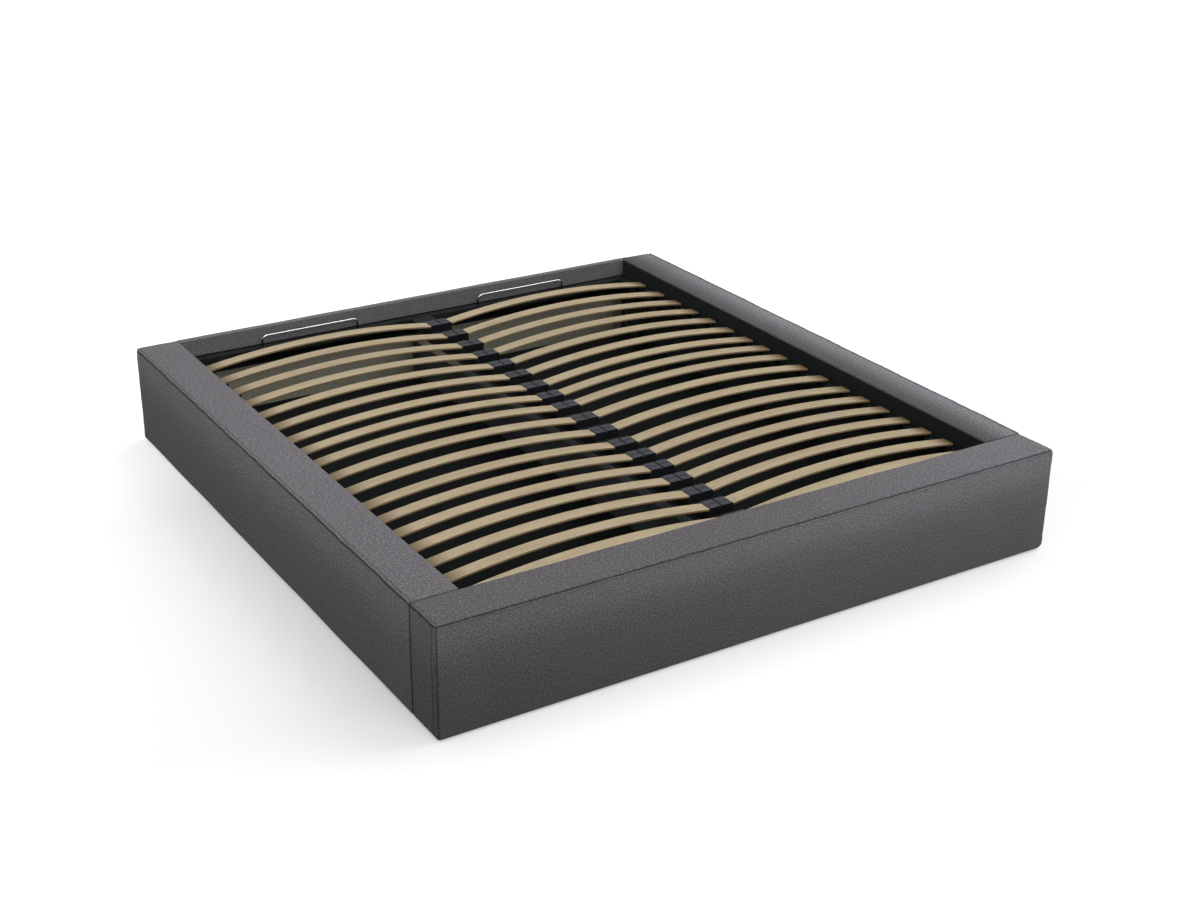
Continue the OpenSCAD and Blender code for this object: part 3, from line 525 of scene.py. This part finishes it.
class Seam:
    """A sewn edge between two faces of a box, with a rolled welt where roll is given.

    Distances run across it: below zero on face one, above on face two. shift is where the
    stitches lie, groove how deep, and stray how far they wander. roll is the height of the
    welt beside them. The last two arguments are how strong the painted shade in the stitched
    groove and in the dip behind the welt gets; the welt itself gets a painted highlight.
    """
    WELT_AT, WELT_W = -0.0078, 0.0036
    DIP_AT, DIP_W, DIP_DEPTH = -0.0145, 0.0028, 0.45
    RIDGE_AT, RIDGE_W, RIDGE_H = 0.0075, 0.0045, 0.0004
    FULL_ROLL = 0.0018
    PUCKER, PUCKER_REACH = 0.0006, 0.016
    SWELL, SWELL_REACH = 0.0006, 0.05

    def __init__(self, one, two, along, groove=0.0026, width=0.0030, shift=0.0022, roll=0.0,
                 stray=0.0009, phase=0.0, dark=1.0, dip=0.55):
        self.one, self.two, self.along = one, two, along
        self.groove, self.width, self.shift, self.roll = groove, width, shift, roll
        self.stray, self.phase, self.dark, self.dip = stray, phase, dark, dip

    def across(self, p, lo, hi):
        """Signed distance from the edge of points on one of its faces, nan elsewhere."""
        s, met = np.full(len(p), np.nan), []
        for face, other, sign in ((self.one, self.two, -1), (self.two, self.one, 1)):
            on = np.abs(p[:, face[0]] - plane(lo, hi, face)) < ON_FACE
            away = sign * np.abs(plane(lo, hi, other) - p[on, other[0]])
            s[on] = np.where(np.isnan(s[on]), away, s[on])
            met.append(on)
        s[met[0] & met[1]] = 0.0
        return s

    def push(self, p, lo, hi):
        """How far each point moves out, and how much painted shade and painted highlight the cloth
        gets there.
        """
        s = self.across(p, lo, hi)
        on = ~np.isnan(s)
        s = np.where(on, s, 1.0)
        t = p[:, self.along]
        d = s - self.shift - self.stray * waves(t, (0.083, 0.137, 0.41), self.phase)
        line = bell(d, 0.0, self.width)
        welt = bell(d, self.WELT_AT, self.WELT_W)
        dip = bell(d, self.DIP_AT, self.DIP_W)
        out = -self.groove * line + self.roll * (welt - self.DIP_DEPTH * dip)
        out += self.RIDGE_H * bell(d, self.RIDGE_AT, self.RIDGE_W)
        wrinkle = waves(t + 0.35 * s, (0.029, 0.046, 0.071), self.phase + 0.8)
        out += self.PUCKER * np.exp(-np.abs(d) / self.PUCKER_REACH) * wrinkle
        swell = waves(t, (0.16, 0.27), self.phase + 2.0)
        out += self.SWELL * np.exp(-np.abs(d) / self.SWELL_REACH) * swell
        rolled = min(1.0, self.roll / self.FULL_ROLL)
        # Painted shade in the stitched groove and the dip, and a painted highlight on the welt
        dark = np.maximum(self.dark * line, self.dip * rolled * dip)
        painted_highlight = rolled * welt * (1 - dark)
        return np.where(on, out, 0.0), np.where(on, dark, 0.0), np.where(on, painted_highlight, 0.0)


CROWN_REACH = (0.07, 0.07, 0.11)  # how far from the edges a face has its full crown, by axis
SWAY = 0.00055
JOINT_SHADE, JOINT_W = 0.9, 0.0030
FACE_UV = {0: (1, 2), 1: (0, 2), 2: (1, 0)}  # the two axes of the cloth on faces of each axis
AXIS_SHIFT, SIDE_SHIFT = 0.37, 0.21  # keep the weave of two faces apart
GRAIN_STRETCH = {0: (0.60, 0.90), 1: (1.0, 1.0), 2: (0.70, 0.75)}


def set_points(me, points, faces):
    me.clear_geometry()
    me.from_pydata(points.tolist(), [], faces)
    me.update()


def set_attribute(me, name, values):
    data = me.attributes.new(name, "FLOAT", "POINT").data
    data.foreach_set("value", values.astype(np.float32))


def wall_cover(name, lo, hi, steps, radii, seams, keep, crown, phase, painted_light,
               mirror=False, joint=None, fabric=FABRIC):
    """One upholstered wall as a sheet: a rounded box with crowned faces, sewn edges and puckers.

    crown lists (face, height). The argument after phase gives, for the points, a factor of
    painted light and shade, and joint(points) how far each point is from the face that meets
    the next wall, where painted shade darkens the cloth.
    """
    p, faces, kinds = box_grid(*steps, keep)
    flat = p.copy()
    for a, b, r in radii:
        round_edges(p, lo, hi, a, b, r)
    me = bpy.data.meshes.new(name)
    set_points(me, p, faces)
    normals = np.zeros(len(p) * 3, np.float32)
    me.vertices.foreach_get("normal", normals)
    normals = normals.reshape(-1, 3).astype(float)

    out, dark, painted_highlight = np.zeros(len(p)), np.zeros(len(p)), np.zeros(len(p))
    for seam in seams:
        o, d, l = seam.push(flat, lo, hi)
        out += o
        dark = np.maximum(dark, d)
        painted_highlight = np.maximum(painted_highlight, l)
    if joint is not None:
        # Painted shade in the joint where this wall meets the next
        dark = np.maximum(dark, JOINT_SHADE * bell(joint(flat), 0.0, JOINT_W))
    size = hi - lo
    q = 2 * (flat - (lo + hi) / 2) / size
    for face, height in crown:
        axis = face[0]
        on = np.abs(flat[:, axis] - plane(lo, hi, face)) < ON_FACE
        reach = [np.minimum(1.0, (1 - np.abs(q[:, k])) * size[k] / 2 / CROWN_REACH[k])
                 for k in ((axis + 1) % 3, (axis + 2) % 3)]
        soft = [r * (2 - r) for r in reach]
        out += np.where(on, height * soft[0] * soft[1], 0.0)
    sway = waves(flat[:, 0] * 0.9 + flat[:, 2] * 0.7, (0.31, 0.53), phase)
    sway *= waves(flat[:, 1] * 0.9 - flat[:, 2] * 0.6, (0.37, 0.61), phase + 1.3)
    out += SWAY * sway
    p += normals * out[:, None]
    if mirror:
        p[:, 0] *= -1
        faces = [f[::-1] for f in faces]
    set_points(me, p, faces)

    uv = []
    for f, (axis, side) in zip(faces, kinds):
        a, b = FACE_UV[axis]
        uv += [(flat[v, a] + AXIS_SHIFT * axis, flat[v, b] + SIDE_SHIFT * side) for v in f]
    uv = np.array(uv, np.float32)
    grain = uv * np.repeat([GRAIN_STRETCH[axis] for axis, side in kinds], 4, axis=0)
    for layer, at in (("UVMap", uv), ("Grain", grain)):
        me.uv_layers.new(name=layer).data.foreach_set("uv", at.astype(np.float32).ravel())
    # Painted shade above zero, painted highlight below
    set_attribute(me, "seam", dark - painted_highlight * (1 - dark))
    # Painted light and shade, a factor for each point
    set_attribute(me, "painted_light", painted_light(flat))
    me.polygons.foreach_set("use_smooth", [True] * len(me.polygons))
    ob = bpy.data.objects.new(name, me)
    scene.collection.objects.link(ob)
    thick = ob.modifiers.new("sheet", "SOLIDIFY")
    thick.thickness = fabric
    thick.offset = -1.0
    ob.data.materials.append(cloth)
    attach(ob, "base")
    return ob


cloth = upholstery()

# ---------------------------------------------------------------- side rails
# Both are made as the right one, with RIGHT outside and BACK at the head, and the left mirrored
r_lo = np.array([RAIL_IN, FOOT_IN + COVER_GAP, rail_lo.z])
r_hi = np.array([HALF_W, rail_hi.y, BED_H])
RAIL_PHASE = {"left": 0.4, "right": 2.9}
# On the right rail the stitched line lies on the rounded top edge, where its painted shade draws a
# dark line along the outer rim
EDGE_SEAM = {"left": dict(width=0.0034, shift=0.0066, roll=0.0020, stray=0.0016),
             "right": dict(width=0.0045, shift=-0.0105, roll=0.0012, stray=0.0006, dip=0.0)}
# Painted light and shade along a rail as (places, factors), and across its top from inside to
# outside
RAIL_LIGHT_ALONG = {"left": ((-1.0, 0.0, 0.9), (0.96, 1.06, 0.96)),
            "right": ((-0.95, -0.5, -0.25, 0.25, 0.5, 0.75, 1.0),
                      (0.86, 0.90, 0.88, 0.93, 0.89, 0.86, 0.75))}
RAIL_LIGHT_ACROSS = {"left": (0.88, 0.88, 0.88, 0.875, 0.87), "right": (0.47, 0.65, 1.06, 1.49, 1.50)}
ACROSS_AT = (0.0, 0.28, 0.52, 0.76, 1.0)
RAIL_SIDE_LIGHT = 1.02


def rail_keep(face, at):
    if face == LEFT:
        return at[2] > LINING_TOP
    if face == UNDER:
        return at[0] > HALF_W - HEM or at[1] > r_hi[1] - HEM
    return True


# Painted light and shade on a rail: along its length, across its top, and one factor for its other
# faces
def rail_painted_light(q, side):
    along = np.interp(q[:, 1], *RAIL_LIGHT_ALONG[side])
    across = np.interp((q[:, 0] - RAIL_IN) / (HALF_W - RAIL_IN), ACROSS_AT, RAIL_LIGHT_ACROSS[side])
    return along * np.where(np.abs(q[:, 2] - BED_H) < ON_TOP, across, RAIL_SIDE_LIGHT)


rail_steps = [ticks(r_lo[0], r_hi[0], INNER_GAP, OUTER_GAP, STEP, SHORT_FLAT),
              ticks(r_lo[1], r_hi[1], END_GAP, END_GAP, LONG_STEP),
              ticks(r_lo[2], r_hi[2], LOW_GAP, OUTER_GAP, STEP)]
rail_radii = [(0, 2, [[0, INNER_R], [EDGE_R, EDGE_R]]),
              (1, 2, [[0, JOINT_R], [EDGE_R, EDGE_R]]),
              (0, 1, [[0, 0], [JOINT_R, EDGE_R]])]
rail_crown = [(RIGHT, SIDE_CROWN), (TOP, TOP_CROWN), (BACK, BACK_CROWN)]
for side, phase in RAIL_PHASE.items():
    rail_seams = [Seam(TOP, RIGHT, 1, phase=phase, **EDGE_SEAM[side]),
                  Seam(TOP, BACK, 0, phase=phase + 1),
                  Seam(BACK, RIGHT, 2, phase=phase + 2, shift=0.0)]
    cover = wall_cover(
        f"cover_rail_{side}", r_lo, r_hi, rail_steps, rail_radii, rail_seams, rail_keep,
        rail_crown, phase, painted_light=lambda q, side=side: rail_painted_light(q, side),
        mirror=side == "left", joint=lambda q: q[:, 1] - r_lo[1])
    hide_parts(f"rail_cover_{side}", f"rail_foam_{side}")

# ---------------------------------------------------------------- foot board over the full width
f_lo = np.array([foot_lo.x, foot_lo.y, foot_lo.z])
f_hi = np.array([foot_hi.x, FOOT_IN - FOOT_GAP, foot_hi.z])
SOFT_END, SOFT_BACK = [0.022, 0.016], 0.014  # rounder edges of the right end: [under, top], back
INNER_SEAM = -0.022  # place of the second seam, on the ends beside their front edges
JOINT_FROM = RAIL_IN - 0.004  # the rails meet the foot board outside of this
# Painted light and shade across the foot board as (places, factors): darker towards the left,
# lighter towards the right, on its top and on its front and left end
FOOT_TOP_LIGHT = ((-0.9, 0.1, 0.9), (0.66, 0.70, 1.02))
FOOT_FRONT_LIGHT = ((-1.054, -1.052, -0.9, 0.1, 0.9), (0.76, 0.70, 0.69, 0.93, 1.04))


def foot_keep(face, at):
    if face == BACK:
        return at[2] > LINING_TOP or abs(at[0]) > RAIL_IN
    if face == UNDER:
        return at[1] < f_lo[1] + HEM or abs(at[0]) > HALF_W - HEM
    return True


# Painted light and shade on the foot board, one table for the top and one for the rest
def foot_painted_light(q):
    on_top = np.abs(q[:, 2] - BED_H) < ON_TOP
    return np.where(on_top, np.interp(q[:, 0], *FOOT_TOP_LIGHT), np.interp(q[:, 0], *FOOT_FRONT_LIGHT))


foot_steps = [ticks(f_lo[0], f_hi[0], SIDE_GAP, SIDE_GAP, LONG_STEP),
              ticks(f_lo[1], f_hi[1], OUTER_GAP, INNER_GAP, STEP),
              ticks(f_lo[2], f_hi[2], LOW_GAP, OUTER_GAP, STEP)]
foot_radii = [(1, 2, [[EDGE_R, EDGE_R], [0, INNER_R]]),
              (0, 2, [[EDGE_R, EDGE_R], SOFT_END]),
              (0, 1, [[EDGE_R, JOINT_R], [EDGE_R, SOFT_BACK]])]
foot_seams = [Seam(TOP, FRONT, 0, phase=1.1)]
foot_seams += [Seam(TOP, end, 1, phase=phase, width=0.0034, shift=0.0060, roll=0.0012)
               for end, phase in ((LEFT, 4.2), (RIGHT, 5.2))]
foot_seams += [Seam(end, FRONT, 2, phase=phase, shift=0.0, groove=0.0022)
               for end, phase in ((LEFT, 0.3), (RIGHT, 1.9))]
foot_seams += [Seam(end, FRONT, 2, phase=phase, shift=INNER_SEAM, groove=0.0012, dark=0.7)
               for end, phase in ((LEFT, 0.9), (RIGHT, 2.9))]
foot = wall_cover(
    "cover_foot", f_lo, f_hi, foot_steps, foot_radii, foot_seams, foot_keep,
    [(FRONT, SIDE_CROWN), (TOP, TOP_CROWN), (LEFT, TOP_CROWN), (RIGHT, TOP_CROWN)],
    phase=5.5, painted_light=foot_painted_light,
    joint=lambda q: np.where(np.abs(q[:, 0]) > JOINT_FROM, f_hi[1] - q[:, 1], 1.0))
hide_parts("foot_cover", "foot_foam")

# ---------------------------------------------------------------- head board
# Thin fabric over the raw panel, down both faces
h_lo = np.array([head_lo.x + COVER_GAP, head_lo.y, head_lo.z])
h_hi = np.array([head_hi.x - COVER_GAP, head_hi.y, head_hi.z])
HEAD_BACK_LIGHT = 0.9


def head_keep(face, at):
    if face == FRONT:
        return at[2] > HEAD_CLOTH_END
    if face == UNDER:
        return at[1] >= PANEL_BACK
    return face in (BACK, TOP)


def head_painted_light(q):
    """Painted light and shade on the head board: on the inner face it undoes the painted height
    shade and makes the face darker than the back, darkest towards the right; the back gets one
    factor.
    """
    painted_height_shade = np.interp(q[:, 2] / BED_H, (0.80, 0.955, 0.985), (0.68, 0.76, 0.53))
    inner = np.interp(q[:, 0], (-0.5, 0.6), (0.74, 0.68)) * 0.70 / painted_height_shade
    return np.where(q[:, 1] < h_lo[1] + 0.001, inner, HEAD_BACK_LIGHT)


head_steps = [ticks(h_lo[0], h_hi[0], 0, 0, 0.010),
              sorted({*ticks(h_lo[1], h_hi[1], INNER_GAP, INNER_GAP, 0.004, 0.004), PANEL_BACK}),
              ticks(h_lo[2], HEAD_CLOTH_END, LOW_GAP, 0, 0.016)[:-1]
              + ticks(HEAD_CLOTH_END, h_hi[2], END_GAP, 0.0012, 0.006, SHORT_FLAT)]
head = wall_cover(
    "cover_head", h_lo, h_hi, head_steps, [(1, 2, [[0, INNER_R], [INNER_R, INNER_R]])], [],
    head_keep, [(FRONT, HEAD_CROWN), (BACK, BACK_CROWN)], phase=2.2, painted_light=head_painted_light,
    fabric=HEAD_FABRIC)
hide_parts("head_cover")

# ---------------------------------------------------------------- materials of the other nodes
black_fleece = fleece()
plastic = moulded()
pad_rubber = rubber()
coat = powder_coat()
bright = chrome("chrome")
loop_wire = chrome("chrome_loops", LOOP_TOP - 0.008)
zinc_plate = zinc("zinc", (0.44, 0.40, 0.31), (0.58, 0.53, 0.42))
dull_zinc = zinc("dull_zinc", (0.150, 0.143, 0.110), (0.205, 0.197, 0.155), 0.25, 0.08)
black_zinc = zinc("black_zinc", (0.030, 0.031, 0.033), (0.055, 0.056, 0.058))
raw_board = chipboard()
pine = softwood()
floor_face = dark_board("floor_face", (0.0040, 0.0048, 0.0047), (0.0082, 0.0095, 0.0093))
rail_face = dark_board("rail_face", (0.0440, 0.0475, 0.0470), (0.0740, 0.0790, 0.0780), 0.72)
woods = [beech(f"beech_{i}", i) for i in range(3)]

WEAR = [
    (black_fleece, ["wall_linings"]),
    (raw_board, ["head_panel", "rail_core_left", "rail_core_right", "foot_core"]),
    (floor_face, ["floor_panel_left", "floor_panel_right", "divider_rail"]),
    (rail_face, ["divider_board"]),
    (pine, ["floor_battens"]),
    (plastic, ["floor_glides", "tube_caps", "pivot_bushes", "centre_holders"]),
    (pad_rubber, ["rest_pads", "side_pads"]),
    (dull_zinc, ["corner_brackets", "bracket_screws"]),
    (black_zinc, ["pivot_pins", "pivot_washers"]),
    (zinc_plate, ["rest_brackets"]),
    (coat, ["lift_plate_left", "lift_plate_right", "side_tube_left", "side_tube_right", "head_tube",
            "foot_tube", "centre_beam", "strut_lugs", "strut_cylinder_left",
            "strut_cylinder_right"]),
    (loop_wire, ["mattress_loops"]),
    (bright, ["strut_rod_left", "strut_rod_right"]),
]
wear_of = {name: mat for mat, names in WEAR for name in names}
for name, ob in nodes.items():
    if name.startswith("slat_row_"):
        wear = woods[int(name.rsplit("_", 1)[1]) % len(woods)]
    else:
        wear = wear_of.get(name, cloth)
    ob.data.materials.clear()
    ob.data.materials.append(wear)


# ---------------------------------------------------------------- floor and backdrop
def setting(name, points, faces, shader):
    me = bpy.data.meshes.new(name)
    me.from_pydata(points, [], faces)
    me.materials.append(shader.mat)
    ob = bpy.data.objects.new(name, me)
    scene.collection.objects.link(ob)
    return ob


FLOOR_HALF, RING_HALF, RING_H = 40, 39, 30
corners = [(-1, -1), (1, -1), (1, 1), (-1, 1)]
paper = Shader("floor", rough=0.9, specular=0.1, Emission_Color=(1, 1, 1, 1))
paper.colour((0.52, 0.52, 0.52))
along = paper.span(paper.axis("Y"), -1.35, 1.15)  # from before the foot board to the head end
# The floor glows to stay white; its glow is lower near the foot end and higher towards the head,
# painted light that shapes the shade beside the bed
painted_glow = paper.ramp(along, [(0.0, 0.37), (0.10, 0.34), (0.20, 0.29), (0.55, 0.335), (0.74, 0.375),
                          (0.88, 0.50), (1.0, 0.55)])
paper.link(painted_glow, paper.main.inputs["Emission Strength"])
floor = setting("floor", [(x * FLOOR_HALF, y * FLOOR_HALF, 0) for x, y in corners],
                [(0, 1, 2, 3)], paper)
# The walls get their light from below through the dim lower half of the sky, not from the floor
floor.visible_diffuse = False
floor.visible_shadow = False

# White ring around the floor, which only the camera sees, and only in low views
white = Shader("backdrop", rough=1.0, specular=0.0,
               Emission_Color=(1, 1, 1, 1), Emission_Strength=1.0)
white.colour((0.8, 0.8, 0.8))
ring = [(x * RING_HALF, y * RING_HALF, z) for z in (0, RING_H) for x, y in corners]
backdrop = setting("backdrop", ring, [(i, (i + 1) % 4, (i + 1) % 4 + 4, i + 4) for i in range(4)],
                   white)
backdrop.visible_diffuse = False
backdrop.visible_glossy = False
backdrop.visible_shadow = False

# ---------------------------------------------------------------- light
world = bpy.data.worlds.new("studio")
scene.world = world
world.use_nodes = True
sky = world.node_tree
ray = sky.nodes.new("ShaderNodeTexCoord")
height = sky.nodes.new("ShaderNodeSeparateXYZ")
dome = sky.nodes.new("ShaderNodeMapRange")
sky.links.new(ray.outputs["Generated"], height.inputs[0])
sky.links.new(height.outputs["Z"], dome.inputs["Value"])
for k, v in (("From Min", -0.03), ("From Max", 0.03), ("To Min", 0.226), ("To Max", 0.30)):
    dome.inputs[k].default_value = v
sky.links.new(dome.outputs["Result"], sky.nodes["Background"].inputs["Strength"])
sky.nodes["Background"].inputs["Color"].default_value = (1, 1, 1, 1)


def soft_light(name, azimuth, height, power, spread):
    """A wide sun. Azimuth 0 shines from +X and 90 from the head end; all angles in degrees."""
    a, h = math.radians(azimuth), math.radians(height)
    lamp = bpy.data.lights.new(name, "SUN")
    lamp.energy = power
    lamp.angle = math.radians(spread)
    ob = bpy.data.objects.new(name, lamp)
    ob.rotation_mode = "QUATERNION"
    toward = Vector((math.cos(a) * math.cos(h), math.sin(a) * math.cos(h), math.sin(h)))
    ob.rotation_quaternion = toward.to_track_quat("Z", "Y")
    scene.collection.objects.link(ob)


soft_light("overhead", 0, 90, 0.46, 60)
soft_light("key", 0, 45, 1.87, 50)
soft_light("front", -90, 40, 1.79, 50)
soft_light("left", 180, 40, 0.46, 50)
soft_light("back", 90, 45, 0.30, 50)

# ---------------------------------------------------------------- camera
camera = bpy.data.cameras.new("camera")
camera.lens = 53.923
camera.sensor_width = 36.0
view = bpy.data.objects.new("camera", camera)
view.location = (-2.78098, -4.58851, 2.56291)
yaw, pitch, roll = 0.56451, 0.42292, 0.01295
ahead = Vector((math.sin(yaw) * math.cos(pitch), math.cos(yaw) * math.cos(pitch),
                -math.sin(pitch)))
level = Vector((math.cos(yaw), -math.sin(yaw), 0.0))
right = level * math.cos(roll) + level.cross(ahead) * math.sin(roll)
up = right.cross(ahead)
view.rotation_mode = "QUATERNION"
view.rotation_quaternion = Matrix([[right[i], up[i], -ahead[i]] for i in range(3)]).to_quaternion()
scene.collection.objects.link(view)
scene.camera = view
scene.view_settings.view_transform = "Standard"
